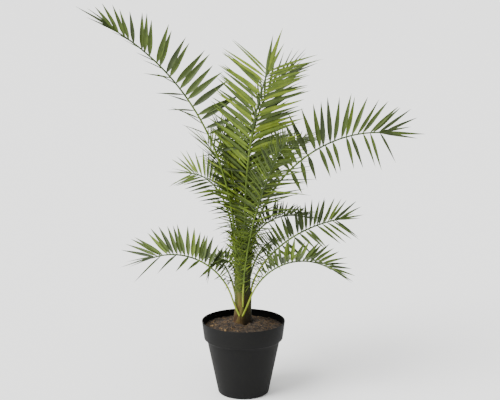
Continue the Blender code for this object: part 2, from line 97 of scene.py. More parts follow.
def linear(hex_colour: str) -> tuple[float, float, float, float]:
    """Turn an sRGB hex colour into a linear one.

    Args:
        hex_colour: six hex digits after a hash, such as "#7D9A2E".

    Returns:
        Linear red, green, blue and an alpha of 1.
    """
    channels = [int(hex_colour[i : i + 2], 16) / 255.0 for i in (1, 3, 5)]
    red, green, blue = (
        value / 12.92 if value <= 0.04045 else ((value + 0.055) / 1.055) ** 2.4
        for value in channels
    )
    return (red, green, blue, 1.0)


def add_node(
    tree: bpy.types.NodeTree, kind: str, settings: dict[str | int, object] | None = None
) -> bpy.types.Node:
    """Add a node with its settings and its links.

    Args:
        tree: node tree that gets the node.
        kind: the node's type without "ShaderNode", such as "TexNoise".
        settings: values by property name, input name or input number.  A value that
            is another node's output is linked to that input.  "stops" are a ramp's
            (place, hex colour) pairs in rising order of place.

    Returns:
        The new node.
    """
    node = tree.nodes.new("ShaderNode" + kind)
    for key, value in (settings or {}).items():
        if key == "stops":
            elements = node.color_ramp.elements
            while len(elements) < len(value):
                elements.new(0.5)
            for element, (place, hex_colour) in zip(elements, value):
                element.position = place
                element.color = linear(hex_colour)
        elif isinstance(key, str) and hasattr(node, key):
            setattr(node, key, value)
        elif isinstance(value, bpy.types.NodeSocket):
            tree.links.new(value, node.inputs[key])
        else:
            node.inputs[key].default_value = value
    return node


def per_mm(size: float) -> float:
    """Return a pattern's scale from the real size of its patches in millimetres."""
    return 1 / (size * MM)


def shader_of(name: str) -> tuple[bpy.types.Material, bpy.types.NodeTree, bpy.types.Node]:
    """Make a new node material and return it with its tree and its shader."""
    material = bpy.data.materials.new(name)
    material.use_nodes = True
    tree = material.node_tree
    return material, tree, tree.nodes["Principled BSDF"]


def set_surface(
    shader: bpy.types.Node,
    colour: bpy.types.NodeSocket,
    constants: dict[str, float],
    relief: tuple[bpy.types.NodeSocket, float, float] | None = None,
) -> None:
    """Give a shader its colour, its constants and its relief.

    Args:
        shader: the material's shader.
        colour: the colour output.
        constants: values by input name.
        relief: the height output, the relief's strength, and its depth in millimetres.
    """
    tree = shader.id_data
    tree.links.new(colour, shader.inputs["Base Color"])
    for key, value in constants.items():
        shader.inputs[key].default_value = value
    if relief:
        height, strength, depth = relief
        settings = {"Height": height, "Strength": strength, "Distance": depth * MM}
        bump = add_node(tree, "Bump", settings)
        tree.links.new(bump.outputs["Normal"], shader.inputs["Normal"])


# Finishes --------------------------------------------------------------------


@dataclass(frozen=True)
class MouldedPolypropylene:
    """Injection-moulded polypropylene with carbon black.

    It is near black, not quite matt, and shows a fine spark-eroded grain and a thin
    film of potting dust that lightens it in soft clouds.
    """

    name: str = "moulded_black_polypropylene"
    tones: Tones = ((0.40, "#101010"), (0.72, "#131312"))
    relief: Pair = (0.12, 0.2)
    ior: float = 1.49
    specular: float = 0.12
    clean_roughness: float = 0.53
    dusty_roughness: float = 0.70
    grain_mm: float = 1.4
    dust_mm: float = 45.0

    def material(self) -> bpy.types.Material:
        """Return the finish as a node material."""
        material, tree, shader = shader_of(self.name)
        place = add_node(tree, "TexCoord").outputs["Object"]
        clouds = {"Vector": place, "Scale": per_mm(self.dust_mm), "Detail": 4.0}
        dust = add_node(tree, "TexNoise", clouds).outputs["Fac"]
        pits = {"Vector": place, "Scale": per_mm(self.grain_mm), "Detail": 2.0}
        grain = add_node(tree, "TexNoise", pits).outputs["Fac"]
        span = {"Value": dust, "To Min": self.clean_roughness, "To Max": self.dusty_roughness}
        rough = add_node(tree, "MapRange", span)
        tree.links.new(rough.outputs["Result"], shader.inputs["Roughness"])
        film = {"Fac": dust, "stops": self.tones}
        colour = add_node(tree, "ValToRGB", film).outputs["Color"]
        constants = {"IOR": self.ior, "Specular IOR Level": self.specular}
        set_surface(shader, colour, constants, (grain, *self.relief))
        return material


@dataclass(frozen=True)
class BarkCompost:
    """Moist potting compost of peat, bark fines and coir, as it is poured.

    It is dark brown and dull, speckled with lighter bark fines of 2 to 4 mm, and
    rough at every scale.
    """

    name: str = "moist_bark_compost"
    tones: Tones = ((0.36, "#14110D"), (0.50, "#28211A"), (0.66, "#483C2E"))
    relief: Pair = (0.9, 2.0)
    ior: float = 1.35
    roughness: float = 0.93
    clod_mm: float = 14.0
    fines_mm: float = 3.2
    fines_share: float = 0.6

    def material(self) -> bpy.types.Material:
        """Return the finish as a node material."""
        material, tree, shader = shader_of(self.name)
        place = add_node(tree, "TexCoord").outputs["Object"]
        large = {"Vector": place, "Scale": per_mm(self.clod_mm), "Detail": 6.0}
        clods = add_node(tree, "TexNoise", large).outputs["Fac"]
        small = {"Vector": place, "Scale": per_mm(self.fines_mm), "Detail": 5.0}
        fines = add_node(tree, "TexNoise", small).outputs["Fac"]
        parts = {"data_type": "FLOAT", "Factor": self.fines_share, "A": clods, "B": fines}
        both = add_node(tree, "Mix", parts).outputs["Result"]
        tones = {"Fac": both, "stops": self.tones}
        colour = add_node(tree, "ValToRGB", tones).outputs["Color"]
        constants = {"Roughness": self.roughness, "IOR": self.ior}
        set_surface(shader, colour, constants, (both, *self.relief))
        return material


@dataclass(frozen=True)
class DryBark:
    """Torn pine bark and coir, dried at the surface: dull, with a fine woody grain."""

    name: str
    dark: str
    light: str
    spread: Pair = (0.35, 0.65)
    ior: float = 1.40
    roughness: float = 0.88
    grain_mm: float = 1.6

    def material(self) -> bpy.types.Material:
        """Return the finish as a node material."""
        material, tree, shader = shader_of(self.name)
        place = add_node(tree, "TexCoord").outputs["Object"]
        fine = {"Vector": place, "Scale": per_mm(self.grain_mm), "Detail": 3.0}
        grain = add_node(tree, "TexNoise", fine).outputs["Fac"]
        tones = {"Fac": grain, "stops": list(zip(self.spread, (self.dark, self.light)))}
        colour = add_node(tree, "ValToRGB", tones).outputs["Color"]
        set_surface(shader, colour, {"Roughness": self.roughness, "IOR": self.ior})
        return material


@dataclass(frozen=True)
class LeafBaseFibre:
    """The woven fibre and rind of palm leaf bases, drying from the foot upwards.

    Brown matted fibre at the soil gives way to olive rind, and that to fresh green,
    all of it drawn into fine upright strands.  The right side, away from the light on
    the left, is painted darker as shade.
    """

    name: str
    foot: str
    middle: str
    top: str
    shade: float = 0.55
    light: float = 1.1
    middle_place: float = 0.45
    groove_spread: Pair = (0.32, 0.68)
    relief: Pair = (0.7, 1.0)
    foot_height: float = 0.242
    top_height: float = 0.340
    ragged: float = 0.04
    patch_mm: float = 16.0
    # Painted shade: towards +X, from lit_side over side_run, the colour darkens to shaded_side.
    lit_side: float = -0.012
    side_run: float = 0.016
    shaded_side: float = 0.30
    strand_mm: float = 1.8
    strand_run_mm: float = 38.0
    ior: float = 1.42
    specular: float = 0.16
    roughness: float = 0.72

    def material(self) -> bpy.types.Material:
        """Return the finish as a node material."""
        material, tree, shader = shader_of(self.name)
        place = add_node(tree, "TexCoord").outputs["Object"]
        across = per_mm(self.strand_mm)
        scale = (across, across, per_mm(self.strand_run_mm))
        drawn = add_node(tree, "Mapping", {"Vector": place, "Scale": scale})
        threads = {"Vector": drawn.outputs["Vector"], "Scale": 1.0, "Detail": 4.0}
        strands = add_node(tree, "TexNoise", threads).outputs["Fac"]
        axes = add_node(tree, "SeparateXYZ", {"Vector": place}).outputs
        blots = {"Vector": place, "Scale": per_mm(self.patch_mm), "Detail": 3.0}
        patchy = add_node(tree, "TexNoise", blots).outputs["Fac"]
        torn = {"operation": "MULTIPLY_ADD", 0: patchy, 1: self.ragged, 2: axes["Z"]}
        edge = add_node(tree, "Math", torn).outputs["Value"]
        span = {"Value": edge, "From Min": self.foot_height, "From Max": self.top_height}
        rise = add_node(tree, "MapRange", span).outputs["Result"]
        stops = ((0.0, self.foot), (self.middle_place, self.middle), (1.0, self.top))
        tint = add_node(tree, "ValToRGB", {"Fac": rise, "stops": stops}).outputs["Color"]
        # Painted shade and light: the grooves between the strands are darkened and the ridges lightened.
        low, high = self.groove_spread
        grooves = {"Value": strands, "From Min": low, "From Max": high}
        grooves |= {"To Min": self.shade, "To Max": self.light}
        depth = add_node(tree, "MapRange", grooves).outputs["Result"]
        # Painted shade: the side away from the light on the left is darkened.
        side = {"Value": axes["X"], "From Min": self.lit_side}
        side |= {"From Max": self.lit_side + self.side_run, "To Min": 1.0, "To Max": self.shaded_side}
        side_shade = add_node(tree, "MapRange", side).outputs["Result"]
        product = {"operation": "MULTIPLY", 0: depth, 1: side_shade}
        worn = add_node(tree, "Math", product).outputs["Value"]
        scaled = {"operation": "SCALE", 0: tint, "Scale": worn}
        colour = add_node(tree, "VectorMath", scaled).outputs["Vector"]
        constants = {"Roughness": self.roughness, "IOR": self.ior}
        constants["Specular IOR Level"] = self.specular
        set_surface(shader, colour, constants, (strands, *self.relief))
        return material


@dataclass(frozen=True)
class WaxyRind:
    """The waxed rind of a living palm stalk or leaflet.

    Wax over ribbed green tissue gives a broad soft gloss.  The green wanders a
    little from patch to patch, and fine veins catch the light.
    """

    name: str
    body: str
    light: str
    spread: Pair = (0.34, 0.66)
    relief: Pair = (0.15, 0.3)
    patch_mm: float = 22.0
    vein_mm: float = 1.2
    ior: float = 1.45
    roughness: float = 0.50
    specular: float = 0.26

    def material(self) -> bpy.types.Material:
        """Return the finish as a node material."""
        material, tree, shader = shader_of(self.name)
        place = add_node(tree, "TexCoord").outputs["Object"]
        broad = {"Vector": place, "Scale": per_mm(self.patch_mm), "Detail": 3.0}
        patches = add_node(tree, "TexNoise", broad).outputs["Fac"]
        fine = {"Vector": place, "Scale": per_mm(self.vein_mm), "Detail": 2.0}
        veins = add_node(tree, "TexNoise", fine).outputs["Fac"]
        greens = {"Fac": patches, "stops": list(zip(self.spread, (self.body, self.light)))}
        colour = add_node(tree, "ValToRGB", greens).outputs["Color"]
        constants = {"Roughness": self.roughness, "IOR": self.ior}
        constants["Specular IOR Level"] = self.specular
        set_surface(shader, colour, constants, (veins, *self.relief))
        return material


@dataclass(frozen=True)
class FloorPaint:
    """Flat off-white floor paint, mottled so faintly that it reads as even."""

    name: str = "pale_floor_paint"
    tones: Tones = ((0.3, "#F5F5F4"), (0.7, "#F7F7F6"))
    mottle_scale: float = 6.0
    roughness: float = 0.8

    def material(self) -> bpy.types.Material:
        """Return the finish as a node material."""
        material, tree, shader = shader_of(self.name)
        patches = {"Scale": self.mottle_scale, "Detail": 2.0}
        mottle = add_node(tree, "TexNoise", patches).outputs["Fac"]
        tones = {"Fac": mottle, "stops": self.tones}
        colour = add_node(tree, "ValToRGB", tones).outputs["Color"]
        set_surface(shader, colour, {"Roughness": self.roughness})
        return material


class LeafTint(Enum):
    """The greens that leaflets are dealt: one leaf green painted in four steps of light and shade, from
    the sunlit heart to the deep shade.
    """

    SUNLIT = WaxyRind("leaflet_sunlit_green", "#586A1A", "#6B7B20")
    HALF_LIT = WaxyRind("leaflet_half_lit_green", "#4A5B1B", "#5B6D20")
    MID = WaxyRind("leaflet_mid_green", "#38461A", "#475620")
    DEEP = WaxyRind("leaflet_deep_green", "#2B361A", "#38431F")


class RindTint(Enum):
    """The greens of a frond's rib, from its foot to its tip."""

    FOOT = WaxyRind("stalk_foot_yellow_green", "#6A7A1C", "#7E8A26", roughness=0.45)
    STALK = WaxyRind("stalk_green", "#44561A", "#52641E", roughness=0.5)
    RIB = WaxyRind("rib_green", "#2C3A16", "#38461C", roughness=0.5)


class Deal(Enum):
    """How a frond's leaflets are dealt the four greens, as shares out of 1: the frond's painted light and
    shade, more sunlit greens where it is lit and more deep greens where it lies in shade, dealt at random
    so that the tone also varies from leaflet to leaflet.
    """

    BRIGHT = (0.22, 0.43, 0.35, 0.00)
    LIVELY = (0.08, 0.30, 0.47, 0.15)
    CALM = (0.00, 0.10, 0.60, 0.30)
    SHADED = (0.00, 0.00, 0.40, 0.60)

    def pick(self, rng: random.Random) -> int:
        """Return the slot of one green, dealt by chance."""
        return rng.choices(range(len(LeafTint)), self.value)[0]


PAINT: dict[Enum, bpy.types.Material] = {}


# Meshes ----------------------------------------------------------------------


@dataclass
class Shape:
    """Points and faces gathered for one piece, each face with a material slot."""

    points: list[Vector] = field(default_factory=list)
    faces: list[tuple[int, ...]] = field(default_factory=list)
    slots: list[int] = field(default_factory=list)

    def grid(self, rows: Sequence[Sequence[Vector]], slot: int = 0, closed: bool = False) -> None:
        """Add a sheet of quads.

        Args:
            rows: rows of points, all of one length.
            slot: material slot of the faces.
            closed: True to join each row's last point to its first.
        """
        start = len(self.points)
        width = len(rows[0])
        for row in rows:
            self.points.extend(row)
        steps = width if closed else width - 1
        for i in range(len(rows) - 1):
            low = start + i * width
            for j in range(steps):
                k = (j + 1) % width
                self.faces.append((low + j, low + k, low + width + k, low + width + j))
                self.slots.append(slot)

    def cap(self, ring: Sequence[Vector], slot: int = 0) -> None:
        """Add one face over a ring of points."""
        start = len(self.points)
        self.points.extend(ring)
        self.faces.append(tuple(range(start, start + len(ring))))
        self.slots.append(slot)

    def piece(
        self,
        name: str,
        materials: Iterable[bpy.types.Material],
        record_slot: str,
        replaced: Iterable[str] = (),
    ) -> bpy.types.Object:
        """Make the gathered faces one smooth piece that rides on the plant's body.

        Args:
            name: the piece's name.
            materials: materials in slot order.
            record_slot: the record's material slot that the piece belongs to; not used.
            replaced: nodes that the piece stands for.

        Returns:
            The new object.
        """
        mesh = bpy.data.meshes.new(name)
        mesh.from_pydata(self.points, [], self.faces)
        for material in materials:
            mesh.materials.append(material)
        mesh.polygons.foreach_set("material_index", self.slots)
        mesh.polygons.foreach_set("use_smooth", [True] * len(self.faces))
        mesh.update()
        obj = bpy.data.objects.new(name, mesh)
        bpy.context.scene.collection.objects.link(obj)
        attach(obj, BODY)
        for node in replaced:
            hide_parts(node)
        LOG.info("%s: %d faces", name, len(self.faces))
        return obj


def turned(profile: Sequence[Pair], steps: int, shape: Shape) -> None:
    """Turn a profile of (radius, height) pairs about the Z axis into a shape."""
    rows = []
    for radius, height in profile:
        ring = [outward(360.0 * step / steps) * radius for step in range(steps)]
        rows.append([Vector((point.x, point.y, height)) for point in ring])
    shape.grid(rows, closed=True)


def tube_rings(
    points: Sequence[Vector],
    radii: Sequence[float],
    sides: int,
    up: Callable[[int], Vector],
    flatten: float = 1.0,
    groove: float = 0.0,
) -> list[list[Vector]]:
    """Lay rings along a line of points.

    Args:
        points: the line.
        radii: half width at each point.
        sides: points in a ring.
        up: gives the upper normal at a point's number.
        flatten: height of the section against its width.
        groove: depth of the channel along the top, against the radius.

    Returns:
        One ring of points for each point of the line.
    """
    rings = []
    for i, (point, radius) in enumerate(zip(points, radii)):
        slope = (points[min(i + 1, len(points) - 1)] - points[max(i - 1, 0)]).normalized()
        side = slope.cross(up(i)).normalized()
        normal = side.cross(slope)
        ring = []
        for k in range(sides):
            angle = 2.0 * math.pi * k / sides
            lift = math.sin(angle)
            dip = groove * max(0.0, lift) ** 6
            ring.append(
                point
                + side * radius * math.cos(angle)
                + normal * radius * flatten * (lift - dip)
            )
        rings.append(ring)
    return rings


# Pot -------------------------------------------------------------------------


@dataclass
class Pot:
    """A round tapered pot with a deep rim band, moulded in one piece."""

    height: float = 0.215
    wall: float = 0.0024
    rim_radius: float = 0.120
    band_height: float = 0.052
    band_foot_radius: float = 0.1135
    band_draft: Pair = (0.0003, 0.0025)
    band_round: float = 0.0008
    cove_height: float = 0.013
    cove_radius: float = 0.1035
    cove_step: float = 0.0022
    cove_gap: float = 0.0006
    foot_radius: float = 0.0745
    foot_round: float = 0.008
    lip_round: float = 0.0012
    floor: float = 0.004
    steps: int = 144
    finish: MouldedPolypropylene = field(default_factory=MouldedPolypropylene)

    def profile(self) -> list[Pair]:
        """Return the closed section as (radius, height) pairs, from inside to outside."""
        band_foot = self.height - self.band_height
        cove_foot = band_foot - self.cove_height
        inner_foot = self.foot_radius - self.wall
        pairs = [
            (0.0, self.floor),
            (inner_foot - self.foot_round / 2, self.floor),
            (inner_foot, self.floor + self.foot_round / 2),
            (self.cove_radius - self.wall, cove_foot + self.cove_height / 4),
            (self.band_foot_radius - self.wall, band_foot + self.cove_height / 4),
            (self.rim_radius - self.wall, self.height - self.lip_round),
        ]
        middle = self.rim_radius - self.wall / 2
        pairs += [
            (middle + self.wall / 2 * across, self.height - self.lip_round * (1.0 - up))
            for across, up in arc(180.0, 0.0, 6)
        ]
        drawn, raised = self.band_draft
        pairs += [
            (self.band_foot_radius + drawn, band_foot + raised),
            (self.band_foot_radius, band_foot + self.band_round),
            (self.band_foot_radius - self.band_round, band_foot),
        ]
        cove_top = band_foot - self.cove_gap
        cove_edge = self.band_foot_radius - self.cove_step
        pairs += [
            (mix(cove_edge, self.cove_radius, up), mix(cove_foot, cove_top, across))
            for across, up in arc(0.0, 90.0, 4)
        ]
        pairs.append((mix(self.foot_radius, self.cove_radius, 0.5), mix(self.foot_round, cove_foot, 0.5)))
        pairs += [
            (self.foot_radius - self.foot_round * (1.0 - across), self.foot_round * (1.0 - up))
            for across, up in arc(0.0, 90.0, 5)
        ]
        pairs.append((0.0, 0.0))
        return pairs

    def build(self) -> bpy.types.Object:
        """Build the pot and dress it."""
        shape = Shape()
        turned(self.profile(), self.steps, shape)
        return shape.piece("pot_shell", [self.finish.material()], "black_plastic", ["pot"])


# Soil ------------------------------------------------------------------------


@dataclass(frozen=True)
class Heap:
    """A low mound in the soil, or a hollow where its rise is below zero."""

    x: float
    y: float
    rise: float
    spread: float

    def lift(self, x: float, y: float) -> float:
        """Return how far it lifts the surface at a place."""
        return self.rise * math.exp(-((x - self.x) ** 2 + (y - self.y) ** 2) / self.spread**2)


@dataclass
class Soil:
    """Compost filled to just under the rim and heaped round the trunk.

    Spans are the widths of clods and crumbs.  The chips' section is (place, girth)
    pairs along a chip, and its ranges are shares of half its length.
    """

    edge_height: float = 0.196
    edge_radius: float = 0.1149
    crown_height: float = 0.2125
    crown_radius: float = 0.034
    slope_radius: float = 0.1035
    depth: float = 0.022
    skirt_taper: float = 0.97
    settled: float = 0.001
    rings: int = 60
    steps: int = 200
    clod: float = 0.0032
    clod_span: float = 0.017
    small_clod_span: float = 0.008
    crumb: float = 0.0014
    crumb_span: float = 0.0036
    heaps: tuple[Heap, ...] = (Heap(0.062, -0.012, 0.006, 0.022), Heap(0.012, -0.040, -0.005, 0.016))
    litter_start: float = 0.027
    litter_gap: float = 0.005
    chips: int = 900
    chip_mm: Pair = (2.0, 6.5)
    chip_tones: tuple[float, ...] = (0.42, 0.34, 0.17, 0.07)
    chip_section: tuple[Pair, ...] = ((-1.0, 0.35), (-0.5, 0.9), (0.4, 1.0), (1.0, 0.3))
    chip_sides: int = 6
    chip_tilt: float = 0.7
    chip_width: Pair = (0.35, 0.8)
    chip_thickness: Pair = (0.2, 0.5)
    chip_unevenness: Pair = (0.75, 1.2)
    pale_chips: int = 7
    pale_chip_mm: Pair = (5.0, 9.0)
    pale_place: Pair = (-0.063, -0.063)
    pale_spread: Pair = (0.014, 0.008)
    pale_lift: float = 0.001
    fibres: int = 220
    fibre_mm: Pair = (8.0, 20.0)
    fibre_thickness_mm: Pair = (0.28, 0.5)
    fibre_lift_mm: Pair = (0.3, 1.4)
    fibre_end_lift: float = 0.3
    fibre_taper: float = 0.6
    fibre_bend: float = 160.0
    fibre_steps: int = 6
    seed: int = 11

    def height(self, x: float, y: float) -> float:
        """Return the height of the surface at a place, clods included."""
        share = (math.hypot(x, y) - self.crown_radius) / (self.slope_radius - self.crown_radius)
        level = mix(self.crown_height, self.edge_height, smooth_step(share))
        place = Vector((x, y, 0.0))
        clods = noise.noise(place / self.clod_span) + noise.noise(place / self.small_clod_span) * 0.5
        crumbs = noise.noise(place / self.crumb_span)
        heaped = sum(heap.lift(x, y) for heap in self.heaps)
        return level + clods * self.clod + crumbs * self.crumb + heaped - self.settled

    def surface(self) -> Shape:
        """Build the soil's top and the skirt that goes down inside the pot."""
        shape = Shape()
        rows = []
        for i in range(self.rings + 1):
            radius = self.edge_radius * (i / self.rings)
            row = [outward(360.0 * step / self.steps) * radius for step in range(self.steps)]
            rows.append([Vector((p.x, p.y, self.height(p.x, p.y))) for p in row])
        low = self.edge_height - self.depth
        foot = [Vector((p.x * self.skirt_taper, p.y * self.skirt_taper, low)) for p in rows[-1]]
        shape.grid([*rows, foot], closed=True)
        return shape

    def chip(self, shape: Shape, rng: random.Random, at: Vector, size: float, slot: int) -> None:
        """Add one torn flake of bark: a squat uneven lump.

        Args:
            shape: the shape that gets the flake.
            rng: source of its unevenness.
            at: its centre.
            size: its length.
            slot: its material slot.
        """
        turn = Matrix.Rotation(rng.uniform(0, math.tau), 3, "Z")
        turn = turn @ Matrix.Rotation(rng.uniform(-self.chip_tilt, self.chip_tilt), 3, "X")
        length = size * 0.5
        width = length * rng.uniform(*self.chip_width)
        thick = length * rng.uniform(*self.chip_thickness)
        rings = []
        for along, girth in self.chip_section:
            ring = []
            for k in range(self.chip_sides):
                angle = math.tau * k / self.chip_sides
                uneven = girth * rng.uniform(*self.chip_unevenness)
                across = width * uneven * math.cos(angle)
                rise = thick * uneven * math.sin(angle)
                ring.append(at + turn @ Vector((along * length, across, rise)))
            rings.append(ring)
        shape.grid(rings, slot, closed=True)
        shape.cap(rings[0][::-1], slot)
        shape.cap(rings[-1], slot)

    def fibre(self, shape: Shape, rng: random.Random, at: Vector, length: float) -> None:
        """Add one loose strand of coir that lies in an arc on the soil."""
        heading = rng.uniform(0, 360)
        bend = rng.uniform(-self.fibre_bend, self.fibre_bend)
        lift = rng.uniform(*self.fibre_lift_mm) * MM
        points = []
        for i in range(self.fibre_steps + 1):
            share = i / self.fibre_steps
            step = outward(heading + bend * share) * length / self.fibre_steps
            spot = points[-1] + step if points else at
            rise = self.height(spot.x, spot.y) + lift * (self.fibre_end_lift + math.sin(math.pi * share))
            points.append(Vector((spot.x, spot.y, rise)))
        thick = rng.uniform(*self.fibre_thickness_mm) * MM
        shares = [i / self.fibre_steps for i in range(self.fibre_steps + 1)]
        radii = [thick * (1.0 - self.fibre_taper * abs(2 * share - 1)) for share in shares]
        shape.grid(tube_rings(points, radii, 4, lambda i: Vector((0, 0, 1))), 0, closed=True)

    def litter(self) -> tuple[Shape, Shape]:
        """Scatter chips and fibres over the surface, with a group of pale ones on the left."""
        rng = random.Random(self.seed)
        chips = Shape()
        strands = Shape()
        inner, outer = self.litter_start**2, (self.edge_radius - self.litter_gap) ** 2
        for i in range(self.chips + self.fibres):
            radius = math.sqrt(mix(inner, outer, rng.random()))
            spot = outward(rng.uniform(0, 360)) * radius
            spot.z = self.height(spot.x, spot.y)
            if i < self.chips:
                size = rng.uniform(*self.chip_mm) * MM
                tone = rng.choices(range(len(self.chip_tones)), self.chip_tones)[0]
                self.chip(chips, rng, spot, size, tone)
            else:
                self.fibre(strands, rng, spot, rng.uniform(*self.fibre_mm) * MM)
        palest = len(self.chip_tones) - 1
        for _ in range(self.pale_chips):
            x, y = [rng.uniform(-reach, reach) for reach in self.pale_spread]
            spot = Vector((*self.pale_place, 0.0)) + Vector((x, y, 0.0))
            spot.z = self.height(spot.x, spot.y) + self.pale_lift
            self.chip(chips, rng, spot, rng.uniform(*self.pale_chip_mm) * MM, palest)
        return chips, strands

    def build(self) -> list[bpy.types.Object]:
        """Build the soil with its litter and dress them."""
        barks = [
            DryBark("composted_bark_dark", "#14110E", "#221C16"),
            DryBark("composted_bark_brown", "#2A211A", "#3E3226"),
            DryBark("dry_pine_bark", "#4A3A2B", "#66523C"),
            DryBark("split_pine_wood", "#7E6440", "#9A7E52"),
        ]
        coir = DryBark("coir_fibre", "#5E4830", "#7C6242")
        chips, strands = self.litter()
        return [
            self.surface().piece("soil_surface", [BarkCompost().material()], "potting_soil", ["soil"]),
            chips.piece("bark_chips", [bark.material() for bark in barks], "potting_soil"),
            strands.piece("coir_strands", [coir.material()], "potting_soil"),
        ]


# Fronds ----------------------------------------------------------------------


@dataclass(frozen=True)
class Foot:
    """Where a frond stands on the trunk: heading, height and the stalk's radius.

    Slim thins the stalk by a factor, pale is the share of the rib in its foot's own
    green, and splay is how far round the trunk a low stalk's foot bends, in degrees.
    """

    turn: float
    height: float
    radius: float
    slim: float = 1.0
    pale: float = 0.3
    splay: float = 0.0


@dataclass(frozen=True)
class Arch:
    """The line that a frond's rib follows: headings and slopes in degrees."""

    heading: float
    length: float
    rise: float
    fall: float
    bend: float = 1.0
    sweep: float = 0.0


@dataclass(frozen=True)
class Rank:
    """One side's row of leaflets: lengths in metres, and degrees from the rib."""

    longest: float
    vee: float = 42.0
    tip_vee: float = 20.0
    base: float = 80.0
    tip: float = 26.0
    ease: float = 2.0
    last: float = 0.95
    drop: float = 0.0
    spacing: float = 0.0145
    width: float = 0.0100
    start: float = 0.0
    stray: float = 1.0


@dataclass(frozen=True)
class Leafing:
    """How a frond's rib is set with leaflets: shares of its length, and its roll.

    The terminal leaflet's width and length are shares of its rank's.  Leaflets are
    narrow up to one share of the rib and broad from another.
    """

    bare: float
    full: float
    upper: Rank
    roll: float = 0.0
    lower: Rank | None = None
    terminal: float = 0.6
    terminal_length: float = 1.0
    narrow_to: float = 0.0
    broad: float = 0.56

    def rank(self, hand: float) -> Rank:
        """Return the rank on the right (1) or the left (-1) of the rib."""
        return self.lower if self.lower and hand * self.roll < 0 else self.upper


@dataclass(frozen=True)
class Frond:
    """One frond."""

    name: str
    foot: Foot
    arch: Arch
    leafing: Leafing
    deal: Deal
